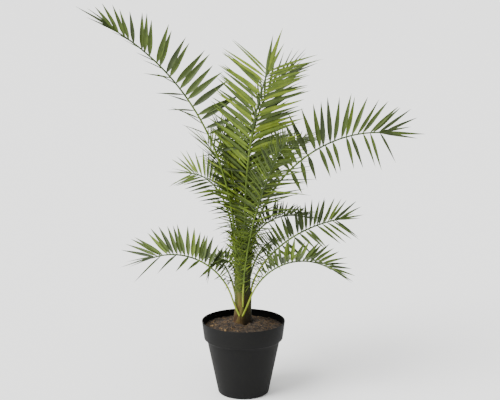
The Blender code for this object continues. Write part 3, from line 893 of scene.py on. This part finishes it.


# Each frond's deal is its painted light and shade: lit fronds get more sunlit greens, shaded ones more
# deep greens.
FRONDS = (
    Frond(
        "high_left", Foot(-155, 0.400, 0.0038), Arch(178, 0.773, 88.5, 30, 1.21, 6),
        Leafing(
            0.06, 0.56, Rank(0.128, 45, 45, 104, 22, 2.6, 0.70, spacing=0.0215, width=0.0225),
            45, Rank(0.092, -16, 26, 84, 8, 1.2, 0.60, spacing=0.0300, width=0.0068, stray=3.0),
            terminal=0.62, terminal_length=1.42, narrow_to=0.42, broad=0.62,
        ), Deal.SHADED,
    ),
    Frond(
        "high_right", Foot(0, 0.380, 0.0036), Arch(6, 0.612, 90, -6.5, 1.03, 12),
        Leafing(
            0.10, 0.52, Rank(0.134, 34, 20, 86, 25, 3.4, 0.90, spacing=0.0190, width=0.0190),
            -60, Rank(0.074, 0, -14, 104, 44, 2.6, 1.45, 0.9, 0.0310, 0.0155, 0.50, 2.0),
            terminal_length=1.2,
        ), Deal.CALM,
    ),
    Frond(
        "tall_front", Foot(-60, 0.450, 0.0036), Arch(-58, 0.510, 90.6, 58, 1.24),
        Leafing(
            0.04, 0.34, Rank(0.150, 16, 20, 50, 77, 1.3, 0.93, spacing=0.0108, width=0.0158),
            34, Rank(0.150, 16, 20, 76, 56, 1.5, 0.93, spacing=0.0128, width=0.0166),
            terminal=1.0, terminal_length=1.05, narrow_to=0.16, broad=0.62,
        ), Deal.BRIGHT,
    ),
    Frond(
        "tall_back", Foot(20, 0.450, 0.0034), Arch(30, 0.505, 90, 34, 2.60),
        Leafing(
            0.06, 0.40, Rank(0.060, 34, 20, 72, 4, 1.8, 1.7, spacing=0.0150, width=0.0085),
            -60, Rank(0.125, 34, 20, 72, 16, 1.8, spacing=0.0170, width=0.0110),
        ), Deal.CALM,
    ),
    Frond(
        "tall_left", Foot(168, 0.450, 0.0032), Arch(146, 0.330, 88, 66, 1.00),
        Leafing(0.06, 0.40, Rank(0.105, base=74, tip=30, last=0.6, spacing=0.0105)), Deal.BRIGHT,
    ),
    Frond(
        "mid_left", Foot(168, 0.385, 0.0028), Arch(160, 0.321, 85, -7, 2.45, -8),
        Leafing(
            0.10, 0.56, Rank(0.078, 40, 20, 88, 20, 3.0, 1.2, spacing=0.0100, width=0.0110),
            34, Rank(0.068, 0, 0, 84, 30, 2.0, 1.2, 0.3, 0.0150, 0.0105),
            narrow_to=0.45, broad=0.72,
        ), Deal.LIVELY,
    ),
    Frond(
        "low_left", Foot(-144, 0.235, 0.0034, splay=38), Arch(180, 0.338, 90, -21, 1.01, -6),
        Leafing(
            0.26, 0.56, Rank(0.084, 42, 24, 84, 28, 2.6, 1.3, spacing=0.0112, width=0.0168),
            32, Rank(0.060, 0, 0, 84, 42, 1.6, 1.9, spacing=0.0420, width=0.0115),
        ), Deal.CALM,
    ),
    Frond(
        "low_right", Foot(-70, 0.235, 0.0034, splay=-20), Arch(-4, 0.338, 82, -32, 1.20, -4),
        Leafing(
            0.26, 0.56, Rank(0.076, 58, 26, 84, 22, 2.6, 1.05, spacing=0.0112, width=0.0145),
            roll=-10, narrow_to=0.38, broad=0.64,
        ), Deal.CALM,
    ),
    Frond(
        "front_right", Foot(-88, 0.258, 0.0037, slim=0.74, pale=0.15), Arch(-22, 0.505, 90, 61, 1.00),
        Leafing(
            0.14, 0.72, Rank(0.078, 30, 20, spacing=0.0060, width=0.0060, stray=2.0),
            50, Rank(0.140, 10, 0, 84, 62, 1.2, 0.60, spacing=0.0125, width=0.0072, stray=2.0),
        ), Deal.CALM,
    ),
    Frond(
        "mid_right", Foot(-8, 0.300, 0.0034), Arch(8, 0.361, 88, 3.5, 0.62, 16),
        Leafing(
            0.14, 0.50, Rank(0.080, 42, 24, 84, 20, 2.8, 1.1, spacing=0.0108, width=0.0128),
            -40, Rank(0.074, -10, -10, 86, 34, 2.0, 1.2, 0.2, 0.0200, 0.0115),
        ), Deal.CALM,
    ),
    Frond(
        "mid_right_rear", Foot(26, 0.410, 0.0028), Arch(22, 0.223, 94, -20, 0.76),
        Leafing(0.16, 0.50, Rank(0.080, spacing=0.0060, width=0.0078, stray=2.0)), Deal.SHADED,
    ),
    Frond(
        "rear_left", Foot(132, 0.420, 0.0032), Arch(128, 0.345, 91, 29, 1.15),
        Leafing(0.08, 0.50, Rank(0.105, spacing=0.0130, width=0.0085)), Deal.LIVELY,
    ),
    Frond(
        "rear_right", Foot(52, 0.420, 0.0032), Arch(48, 0.420, 70, -6, 2.20),
        Leafing(0.08, 0.50, Rank(0.095, spacing=0.0064, width=0.0074, stray=2.0)), Deal.CALM,
    ),
    Frond(
        "tall_rear", Foot(100, 0.450, 0.0034), Arch(92, 0.310, 90, 50, 1.20),
        Leafing(
            0.06, 0.36, Rank(0.120, 30, base=72, tip=40, last=0.7, spacing=0.0068, width=0.0105),
        ), Deal.LIVELY,
    ),
    Frond(
        "mid_rear", Foot(90, 0.360, 0.0032), Arch(98, 0.400, 86, -5, 1.20, 8),
        Leafing(0.10, 0.50, Rank(0.110, spacing=0.0070, width=0.0095)), Deal.CALM,
    ),
    Frond(
        "low_rear_right", Foot(60, 0.280, 0.0030), Arch(62, 0.250, 80, -14, 1.00, 6),
        Leafing(0.18, 0.50, Rank(0.090, spacing=0.0125, width=0.0085)), Deal.CALM,
    ),
    Frond(
        "low_left_rear", Foot(172, 0.350, 0.0026), Arch(170, 0.109, 88, -80, 1.20, -6),
        Leafing(0.12, 0.45, Rank(0.055, 20, 0, 84, 24, spacing=0.0055, width=0.0090), 20), Deal.SHADED,
    ),
    Frond(
        "low_rear_left", Foot(135, 0.262, 0.0030), Arch(122, 0.215, 78, -18, 1.10, -6),
        Leafing(0.18, 0.50, Rank(0.085, spacing=0.0125, width=0.0085)), Deal.CALM,
    ),
)


# Trunk -----------------------------------------------------------------------


@dataclass
class Trunk:
    """The short stem, wrapped in the clasping bases of its fronds.

    Scales of the noise are (round the trunk, up it per metre).
    """

    foot: Vector = field(default_factory=lambda: Vector((-0.003, 0.0, 0.2128)))
    top: Vector = field(default_factory=lambda: Vector((-0.001, 0.002, 0.448)))
    foot_radius: float = 0.0225
    top_radius: float = 0.0165
    flare: float = 0.0045
    flare_height: float = 0.022
    inset: float = 0.0012
    ridge: float = 0.0011
    ridge_scale: Pair = (9.0, 26.0)
    strand: float = 0.0006
    strand_scale: Pair = (30.0, 40.0)
    crown_ring: float = 0.0095
    crown_stub: float = 0.006
    clearance: float = 0.0003
    base_run: float = 0.085
    base_over: float = 0.004
    base_clasp: float = 72.0
    slender_clasp: float = 34.0
    base_thickness: float = 0.0018
    base_rough: float = 0.0004
    base_scale: Pair = (12.0, 60.0)
    base_fit: float = 1.15
    base_swell: Pair = (1.0, 1.6)
    base_fullness: float = 0.8
    base_narrowing: float = 0.7
    base_thickening: float = 1.3
    base_rows: int = 16
    base_columns: int = 14
    old_below: float = 0.31
    standing_start: float = 0.335
    standing_sink: float = 0.001
    standing_lean: float = 0.45
    standing_girth: Pair = (1.9, 1.05)
    standing_flatness: float = 0.8
    standing_rows: int = 14
    standing_sides: int = 12
    buried: float = 0.006
    rows: int = 120
    sides: int = 96

    def centre(self, height: float) -> Vector:
        """Return the point of the trunk's axis at a height."""
        share = (height - self.foot.z) / (self.top.z - self.foot.z)
        middle = self.foot.lerp(self.top, smooth_step(share))
        middle.z = height
        return middle

    def radius(self, height: float) -> float:
        """Return the trunk's radius at a height: an even taper, flared at the foot."""
        rise = max(0.0, height - self.foot.z)
        share = rise / (self.top.z - self.foot.z)
        flare = self.flare * math.exp(-rise / self.flare_height)
        return mix(self.foot_radius, self.top_radius, share) + flare

    def rough(self, way: Vector, height: float, scale: Pair) -> float:
        """Return the noise of the trunk's surface on one side of it at a height."""
        round_it, up_it = scale
        return noise.noise(Vector((way.x * round_it, way.y * round_it, height * up_it)))

    def on_top(self, frond: Frond) -> bool:
        """Return True for a frond that stands on the trunk's top."""
        return frond.foot.height > self.top.z

    def reach(self, foot: Foot) -> float:
        """Return how far a foot on the trunk's side stands from its axis."""
        return self.radius(foot.height) + foot.radius + self.clearance

    def frond_foot(self, frond: Frond) -> Vector:
        """Return the centre of a frond's foot."""
        foot = frond.foot
        if self.on_top(frond):
            stub = self.top + Vector((0.0, 0.0, self.crown_stub))
            return stub + outward(foot.turn) * self.crown_ring
        return self.centre(foot.height) + outward(foot.turn) * self.reach(foot)

    def lean(self, frond: Frond) -> Vector:
        """Return how far a low stalk's foot bends aside to meet its neighbour's in a V."""
        foot = frond.foot
        return (outward(foot.turn + foot.splay) - outward(foot.turn)) * self.reach(foot)

    def core(self) -> Shape:
        """Build the stem with the ridges of old fibre wrapped round it."""
        shape = Shape()
        rows = []
        for i in range(self.rows + 1):
            height = mix(self.foot.z - self.buried, self.top.z, i / self.rows)
            middle = self.centre(max(height, self.foot.z))
            middle.z = height
            row = []
            for j in range(self.sides):
                way = outward(360.0 * j / self.sides)
                ridge = self.rough(way, height, self.ridge_scale) * self.ridge
                strand = self.rough(way, height, self.strand_scale) * self.strand
                row.append(middle + way * (self.radius(height) - self.inset + ridge + strand))
            rows.append(row)
        shape.grid(rows, closed=True)
        shape.cap(rows[-1])
        return shape

    def clasping_base(self, shape: Shape, frond: Frond, slot: int) -> None:
        """Add the leaf base of a frond on the trunk's side.

        It clasps the trunk low down, where it is wide and thin, and narrows and
        thickens upwards until it is the stalk's own section.
        """
        foot = frond.foot
        widest = self.slender_clasp if foot.splay else self.base_clasp
        low = max(foot.height - self.base_run, self.foot.z - self.buried)
        high = foot.height + self.base_over
        reach = min(0.9, foot.radius * self.base_fit / self.radius(high))
        top_clasp = math.degrees(math.asin(reach))
        rows = []
        for i in range(self.base_rows + 1):
            share = i / self.base_rows
            height = mix(low, high, share)
            clasp = mix(widest, top_clasp, share**self.base_narrowing)
            stalk = 2.0 * foot.radius + self.clearance
            crest = mix(self.base_thickness, stalk, share**self.base_thickening)
            row = []
            for k in range(self.base_columns + 1):
                across = 2.0 * k / self.base_columns - 1.0
                way = outward(foot.turn + foot.splay + clasp * across)
                edge = math.pi / 2 * abs(across) ** mix(*self.base_swell, share)
                swell = math.cos(edge) ** self.base_fullness
                rough = self.rough(way, height, self.base_scale) * self.base_rough
                lift = mix(-self.inset, crest, swell) + rough
                row.append(self.centre(height) + way * (self.radius(height) + lift))
            rows.append(row)
        shape.grid(rows, slot)

    def standing_base(self, shape: Shape, frond: Frond, slot: int) -> None:
        """Add the base of a frond on the trunk's top: it runs up the side and over the edge."""
        foot = self.frond_foot(frond)
        way = outward(frond.foot.turn)
        points = []
        radii = []
        for i in range(self.standing_rows + 1):
            share = i / self.standing_rows
            height = mix(self.standing_start, foot.z, share)
            out = way * (self.radius(height) - self.standing_sink)
            wall = self.centre(min(height, self.top.z)) + out
            wall.z = height
            past = (share - self.standing_lean) / (1.0 - self.standing_lean)
            leaned = wall.lerp(foot, smooth_step(past))
            leaned.z = height
            points.append(leaned)
            radii.append(frond.foot.radius * mix(*self.standing_girth, smooth_step(share)))
        sides, flatness = self.standing_sides, self.standing_flatness
        shape.grid(tube_rings(points, radii, sides, lambda i: way, flatness), slot, closed=True)

    def build(self) -> list[bpy.types.Object]:
        """Build the trunk and the leaf bases and dress them."""
        # All three are painted darker on their right side, as shade from the light on the left.
        fibre = LeafBaseFibre("matted_leaf_base_fibre", "#3A281A", "#665830", "#4A5628")
        old = LeafBaseFibre(
            "drying_leaf_base_rind", "#43341C", "#6E6A32", "#606C2A", 0.72, shaded_side=0.22, roughness=0.6
        )
        fresh = LeafBaseFibre(
            "fresh_leaf_base_rind", "#38381C", "#505224", "#48521C", 0.82, shaded_side=0.24, roughness=0.55
        )
        trunk = self.core().piece("trunk_bark", [fibre.material()], "leaf_base_trunk", ["trunk"])
        bases = Shape()
        for frond in sorted(FRONDS, key=lambda item: -item.foot.height):
            slot = 0 if frond.foot.height < self.old_below else 1
            grow = self.standing_base if self.on_top(frond) else self.clasping_base
            grow(bases, frond, slot)
        rinds = bases.piece("leaf_bases", [old.material(), fresh.material()], "leaf_base_trunk")
        return [trunk, rinds]


# Crown -----------------------------------------------------------------------


@dataclass
class Rib:
    """The rib of a frond, sampled finely once and read at any share of its length."""

    frond: Frond
    start: Vector
    samples: int = 240
    tip_radius: float = 0.0020
    taper: float = 0.8
    lean: Vector = field(default_factory=Vector)
    lean_run: float = 0.16
    points: list[Vector] = field(default_factory=list)

    def __post_init__(self) -> None:
        """Walk the rib's line from its foot to its tip."""
        arch = self.frond.arch
        self.points = [self.start]
        for i in range(self.samples):
            step = self.slope((i + 0.5) / self.samples) * arch.length / self.samples
            self.points.append(self.points[-1] + step)

    def slope(self, share: float) -> Vector:
        """Return the direction of the rib at a share of its length."""
        arch = self.frond.arch
        lift = math.radians(mix(arch.rise, arch.fall, share**arch.bend))
        level = outward(arch.heading + arch.sweep * share)
        return level * math.cos(lift) + Vector((0.0, 0.0, math.sin(lift)))

    def at(self, share: float) -> Vector:
        """Return the point of the rib at a share of its length."""
        place = min(max(share, 0.0), 1.0) * self.samples
        low = min(int(place), self.samples - 1)
        leaned = self.lean * max(0.0, 1.0 - share / self.lean_run) ** 2
        return self.points[low].lerp(self.points[low + 1], place - low) + leaned

    def radius(self, share: float) -> float:
        """Return the rib's radius, which thins towards the tip."""
        return mix(self.frond.foot.radius, self.tip_radius, share**self.taper)

    def axes(self, share: float) -> tuple[Vector, Vector, Vector]:
        """Return the slope, side and upper normal of the blade at a share of the length."""
        arch = self.frond.arch
        leafing = self.frond.leafing
        slope = self.slope(share)
        side = outward(arch.heading + arch.sweep * share - 90.0)
        normal = side.cross(slope)
        roll = math.radians(leafing.roll) * smooth_step(share / leafing.full)
        rolled_side = side * math.cos(roll) + normal * math.sin(roll)
        rolled_normal = normal * math.cos(roll) - side * math.sin(roll)
        return slope, rolled_side, rolled_normal


@dataclass
class Leaflet:
    """One leaflet: a long lance-shaped blade, folded upwards along its middle.

    Swell, point, sag and cup are the powers of its curves: how fast it widens from
    the neck, narrows to its point, hangs and turns up its edges.
    """

    root: Vector
    along: Vector
    across: Vector
    normal: Vector
    length: float
    width: float
    droop: float
    twist: float
    fold: float = 33.0
    broadest: float = 0.34
    neck: float = 0.16
    swell: float = 0.75
    point: float = 1.4
    sag: float = 2.2
    cup: float = 1.2
    rows: int = 12

    def half_width(self, share: float) -> float:
        """Return half the blade's width at a share of its length."""
        if share < self.broadest:
            grown = math.sin(math.pi / 2 * (share / self.broadest) ** self.swell)
            return self.width / 2 * mix(self.neck, 1.0, grown)
        past = (share - self.broadest) / (1.0 - self.broadest)
        return self.width / 2 * (1.0 - past**self.point)

    def grow(self, shape: Shape, slot: int) -> None:
        """Add the leaflet to a shape."""
        rows = []
        fold = math.radians(self.fold)
        for i in range(self.rows + 1):
            share = i / self.rows
            sag = Vector((0.0, 0.0, -self.droop * self.length * share**self.sag))
            middle = self.root + self.along * self.length * share + sag
            turn = Matrix.Rotation(math.radians(self.twist) * share, 3, self.along)
            across = turn @ self.across
            normal = turn @ self.normal
            half = self.half_width(share)
            row = []
            for k in (-1.0, -0.5, 0.0, 0.5, 1.0):
                spread = across * k * half * math.cos(fold)
                rise = normal * (abs(k) ** self.cup) * half * math.sin(fold)
                row.append(middle + spread + rise)
            rows.append(row)
        shape.grid(rows, slot)


@dataclass
class Fringe:
    """The short thin leaflets that fringe the bases round the trunk's upper part.

    They stand in columns, sparse at the low end of the run, and leave one side bare
    up to a height.
    """

    trunk: Trunk
    run: Pair = (0.300, 0.470)
    sparse: float = 2.6
    thick_height: float = 0.375
    step: float = 0.0075
    step_range: Pair = (0.7, 1.3)
    columns: int = 13
    column_jitter: float = 0.25
    turn_jitter: float = 8.0
    spread: Pair = (26.0, 62.0)
    least_stand: float = 0.05
    low_stand: float = 0.3
    high_stand: float = 0.9
    short: float = 0.030
    long: float = 0.056
    length_range: Pair = (0.7, 1.2)
    width: float = 0.0042
    droop: float = 0.16
    twist: float = 50.0
    clearance: float = 0.002
    bare_side: float = 0.45
    bare_top: float = 0.375
    rows: int = 8
    seed: int = 5

    def leaflet(self, turn: float, height: float, hand: float, rng: random.Random) -> Leaflet:
        """Return one leaflet.

        Args:
            turn: its side of the trunk, in degrees.
            height: where it stands.
            hand: 1 or -1 for the side it leans to.
            rng: source of its small differences.
        """
        low, high = self.run
        grown = smooth_step((height - low) / (high - low))
        way = outward(turn + rng.uniform(-self.turn_jitter, self.turn_jitter))
        spread = math.radians(rng.uniform(*self.spread))
        stand = rng.uniform(self.least_stand, mix(self.low_stand, self.high_stand, grown))
        outer = (Vector((-way.y, way.x, 0.0)) * hand + way * stand).normalized()
        along = Vector((0, 0, math.cos(spread))) + outer * math.sin(spread)
        across = (Vector((0.0, 0.0, 1.0)) - along * along.z).normalized()
        length = mix(self.short, self.long, grown) * rng.uniform(*self.length_range)
        return Leaflet(
            self.trunk.centre(height) + way * (self.trunk.radius(height) + self.clearance),
            along,
            across,
            along.cross(across) * hand,
            length,
            self.width * length / self.long,
            droop=rng.uniform(0.0, self.droop),
            twist=rng.uniform(-self.twist, self.twist),
            rows=self.rows,
        )

    def build(self) -> bpy.types.Object:
        """Build the fringe and dress it."""
        rng = random.Random(self.seed)
        shape = Shape()
        low, high = self.run
        for column in range(self.columns):
            jitter = rng.uniform(-self.column_jitter, self.column_jitter)
            turn = 360.0 * (column + jitter) / self.columns
            height = low + rng.uniform(0.0, self.step)
            while height < high:
                bare = outward(turn).x > self.bare_side and height < self.bare_top
                for hand in () if bare else (-1.0, 1.0):
                    leaflet = self.leaflet(turn, height, hand, rng)
                    # Painted light: the fringe leaflets are dealt the bright, sunlit greens.
                    leaflet.grow(shape, Deal.BRIGHT.pick(rng))
                thick = smooth_step((height - low) / (self.thick_height - low))
                height += self.step * rng.uniform(*self.step_range) * mix(self.sparse, 1.0, thick)
        materials = [PAINT[tint] for tint in LeafTint]
        return shape.piece("trunk_fringe", materials, "green_leaflets", ["trunk"])


@dataclass
class Crown:
    """All the fronds, each a rib with two ranks of leaflets."""

    trunk: Trunk
    rib_step: float = 0.012
    rib_fullness: float = 1.06
    tip_crowding: float = 0.8
    tip_narrowing: float = 0.58
    base_crowding: float = 0.40
    rib_sides: int = 12
    rib_flatness: float = 0.9
    rib_groove: float = 0.35
    rib_deep_from: float = 0.62
    rank_end: float = 0.995
    last_place: float = 0.998
    place_jitter: float = 0.3
    slim: float = 1.5
    mature_slim: float = 0.5
    young_narrowing: float = 0.50
    terminal_share: float = 0.975
    terminal_twist: float = 30.0
    terminal_leaflets: tuple[tuple[float, float, float], ...] = (
        (0.0, 1.0, 0.0),
        (-8.0, 0.86, 0.012),
        (9.0, 0.80, 0.020),
    )
    spine_share: float = 0.38
    swing_jitter: float = 5.0
    young_swing: float = 16.0
    vee_jitter: float = 7.0
    young_vee: float = 62.0
    length_jitter: float = 0.07
    young_length: float = 0.22
    young_droop: float = 0.14
    young_brighter: float = 0.5
    droop: float = 0.06
    twist: float = 30.0
    seat: float = 0.6

    def rib(self, rib: Rib, replaced: Iterable[str]) -> bpy.types.Object:
        """Build a frond's rib: rounded below and channelled above."""
        frond = rib.frond
        count = round(frond.arch.length / self.rib_step)
        shares = [i / count for i in range(count + 1)]
        points = [rib.at(share) for share in shares]
        full = self.rib_fullness * frond.foot.slim
        radii = [rib.radius(share) * full for share in shares]
        upper = [rib.axes(share)[2] for share in shares]
        rings = tube_rings(
            points, radii, self.rib_sides, lambda i: upper[i], self.rib_flatness, self.rib_groove
        )
        shape = Shape()
        ends = (0, round(count * frond.foot.pale), round(count * self.rib_deep_from), count)
        for slot in range(3):
            shape.grid(rings[ends[slot] : ends[slot + 1] + 1], slot, closed=True)
        shape.cap(rings[-1], 2)
        shape.cap(rings[0][::-1], 0)
        foot = RindTint.FOOT if frond.foot.height < self.trunk.old_below else RindTint.STALK
        materials = [PAINT[tint] for tint in (foot, RindTint.STALK, RindTint.RIB)]
        return shape.piece(frond.name + "_rib", materials, "green_stalk", replaced)

    def leaflet_length(self, leafing: Leafing, rank: Rank, share: float) -> float:
        """Return the length of a rank's leaflets at a share of the rib."""
        grown = smooth_step((share - leafing.bare) / (leafing.full - leafing.bare))
        waned = smooth_step((share - leafing.full) / (1.0 - leafing.full))
        return rank.longest * mix(self.spine_share, 1.0, grown) * mix(1.0, rank.last, waned)

    def width(self, leafing: Leafing, rank: Rank, length: float, share: float) -> float:
        """Return the width of a rank's leaflet of a length, at a share of the rib."""
        narrow = max(leafing.bare, leafing.narrow_to)
        grown = smooth_step((share - narrow) / (leafing.broad - narrow))
        narrowed = mix(self.young_narrowing, 1.0, grown) * mix(1.0, self.tip_narrowing, share**6)
        slim = mix(self.slim, self.mature_slim, smooth_step(share / leafing.full))
        return rank.width * min(1.0, length / rank.longest) ** slim * narrowed

    def places(self, frond: Frond, rank: Rank) -> list[float]:
        """Return the shares of the rib's length where a rank's leaflets stand."""
        shares = []
        share = max(frond.leafing.bare, rank.start)
        while share < self.rank_end:
            shares.append(share)
            crowding = mix(self.base_crowding, 1.0, smooth_step(share / frond.leafing.full))
            step = rank.spacing * crowding * mix(1.0, self.tip_crowding, share**3)
            share += step / frond.arch.length
        return shares

    def leaflets(self, rib: Rib, replaced: Iterable[str]) -> bpy.types.Object:
        """Build a frond's leaflets, from the short ones on its stalk to its tip."""
        frond = rib.frond
        leafing = frond.leafing
        rng = random.Random(frond.name)
        shape = Shape()
        for hand in (-1.0, 1.0):
            rank = leafing.rank(hand)
            for share in self.places(frond, rank):
                stray = rng.uniform(-self.place_jitter, self.place_jitter)
                offset = share + stray * rank.spacing / frond.arch.length
                place = min(max(offset, leafing.bare), self.last_place)
                self.leaflet(shape, rib, place, hand, rng)
        rank = leafing.upper
        length = self.leaflet_length(leafing, rank, 1.0) * leafing.terminal_length
        width = rank.width * leafing.terminal
        for turn, size, back in self.terminal_leaflets:
            share = self.terminal_share - back
            slope, side, normal = rib.axes(share)
            aside = Matrix.Rotation(math.radians(turn), 3, normal)
            last = Leaflet(
                rib.at(share),
                aside @ slope,
                aside @ side,
                normal,
                length * size,
                width * size,
                droop=0.0,
                twist=self.terminal_twist,
            )
            last.grow(shape, self.tint(frond, 1.0, rng))
        materials = [PAINT[tint] for tint in LeafTint]
        return shape.piece(frond.name + "_leaflets", materials, "green_leaflets", replaced)

    def tint(self, frond: Frond, share: float, rng: random.Random) -> int:
        """Return the slot of a green: the frond's own deal of painted light and shade, a step brighter,
        towards the painted sunlit green, on its stalk.
        """
        tint = frond.deal.pick(rng)
        brighter = rng.random() < self.young_brighter * (1.0 - smooth_step(share / frond.leafing.full))
        return max(0, tint - 1) if brighter else tint

    def leaflet(self, shape: Shape, rib: Rib, share: float, hand: float, rng: random.Random) -> None:
        """Add one leaflet of a rank.

        Args:
            shape: the shape that gets it.
            rib: the frond's rib.
            share: its place along the rib.
            hand: 1 for the right rank and -1 for the left.
            rng: source of its small differences.
        """
        frond = rib.frond
        leafing = frond.leafing
        rank = leafing.rank(hand)
        place = (share - leafing.bare) / (1.0 - leafing.bare)
        young = 1.0 - smooth_step((share - leafing.bare) / (leafing.full - leafing.bare))
        slope, side, normal = rib.axes(share)
        swing = rng.uniform(-1, 1) * mix(self.swing_jitter * rank.stray, self.young_swing, young)
        tilt = rng.uniform(-1, 1) * mix(self.vee_jitter * rank.stray, self.young_vee, young)
        spread = math.radians(mix(rank.base, rank.tip, place**rank.ease) + swing)
        vee = math.radians(mix(rank.vee, rank.tip_vee, place) + tilt)
        outer = side * hand * math.cos(vee) + normal * math.sin(vee)
        along = slope * math.cos(spread) + outer * math.sin(spread)
        along.z -= rank.drop * (1.0 - along.z) / 2
        along.normalize()
        across = (slope - along * slope.dot(along)).normalized()
        upper = along.cross(across) * hand
        length = self.leaflet_length(leafing, rank, share)
        length *= 1.0 + rng.uniform(-1, 1) * mix(self.length_jitter, self.young_length, young)
        root = rib.at(share) + outer * rib.radius(share) * self.seat
        leaflet = Leaflet(
            root,
            along,
            across,
            upper,
            length,
            self.width(leafing, rank, length, share),
            droop=rng.uniform(0.0, self.droop) + self.young_droop * young,
            twist=rng.uniform(-self.twist, self.twist),
        )
        leaflet.grow(shape, self.tint(frond, share, rng))

    def build(self) -> list[bpy.types.Object]:
        """Build every frond and dress it."""
        pieces = []
        for frond in FRONDS:
            rib = Rib(frond, self.trunk.frond_foot(frond), lean=self.trunk.lean(frond))
            stalk, blade = frond.name + "_stalk", frond.name + "_blade"
            pieces.append(self.rib(rib, [stalk]))
            pieces.append(self.leaflets(rib, [stalk, blade]))
        return pieces


# Studio ----------------------------------------------------------------------


@dataclass
class Studio:
    """A pale floor, soft light from the upper left, and the camera."""

    camera_place: tuple[float, float, float] = (0.018863, -3.2, 1.18478)
    camera_pitch: float = -10.919
    lens: float = 83.04
    sensor: float = 36.0
    farthest: float = 1000.0
    floor_size: float = 800.0
    sky_colour: str = "#FFFFFF"
    sky_left: float = 1.95
    sky_right: float = 0.85
    sun_strength: float = 5.0
    sun_spread: float = 40.0
    sun_from: tuple[float, float, float] = (-1.1, -0.75, 1.35)

    def floor(self) -> None:
        """Lay the floor."""
        half = self.floor_size / 2
        mesh = bpy.data.meshes.new("studio_floor")
        signs = ((-1, -1), (1, -1), (1, 1), (-1, 1))
        corners = [(half * x, half * y, 0.0) for x, y in signs]
        mesh.from_pydata(corners, [], [(0, 1, 2, 3)])
        mesh.materials.append(FloorPaint().material())
        floor = bpy.data.objects.new("studio_floor", mesh)
        bpy.context.scene.collection.objects.link(floor)

    def sun(self) -> None:
        """Light the plant softly from the upper left, as through a wide diffuser."""
        data = bpy.data.lights.new("soft_sun", "SUN")
        data.energy = self.sun_strength
        data.angle = math.radians(self.sun_spread)
        lamp = bpy.data.objects.new("soft_sun", data)
        lamp.rotation_euler = (-Vector(self.sun_from)).to_track_quat("-Z", "Y").to_euler()
        bpy.context.scene.collection.objects.link(lamp)

    def camera(self) -> None:
        """Set the camera in front of the plant, a little above its middle."""
        data = bpy.data.cameras.new("camera")
        data.lens = self.lens
        data.sensor_width = self.sensor
        data.clip_end = self.farthest
        camera = bpy.data.objects.new("camera", data)
        camera.location = self.camera_place
        camera.rotation_euler = (math.radians(90.0 + self.camera_pitch), 0.0, 0.0)
        bpy.context.scene.collection.objects.link(camera)
        bpy.context.scene.camera = camera

    def sky(self) -> None:
        """Fill the room with white light that is stronger from the left than the right."""
        world = bpy.data.worlds.new("studio_air")
        world.use_nodes = True
        tree = world.node_tree
        background = tree.nodes["Background"]
        way = add_node(tree, "TexCoord").outputs["Generated"]
        x = add_node(tree, "SeparateXYZ", {"Vector": way}).outputs["X"]
        sides = {"Value": x, "From Min": -1.0, "From Max": 1.0}
        sides |= {"To Min": self.sky_left, "To Max": self.sky_right}
        strength = add_node(tree, "MapRange", sides).outputs["Result"]
        tree.links.new(strength, background.inputs["Strength"])
        background.inputs["Color"].default_value = linear(self.sky_colour)
        bpy.context.scene.world = world

    def build(self) -> None:
        """Set up the whole studio."""
        self.camera()
        self.sky()
        self.floor()
        self.sun()


def main() -> None:
    """Load the frame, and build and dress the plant."""
    logging.basicConfig(level=logging.INFO, format="%(message)s")
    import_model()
    for tint in (*LeafTint, *RindTint):
        PAINT[tint] = tint.value.material()
    Studio().build()
    trunk = Trunk()
    Pot().build()
    Soil().build()
    trunk.build()
    Fringe(trunk).build()
    Crown(trunk).build()


if __name__ == "__main__":
    main()
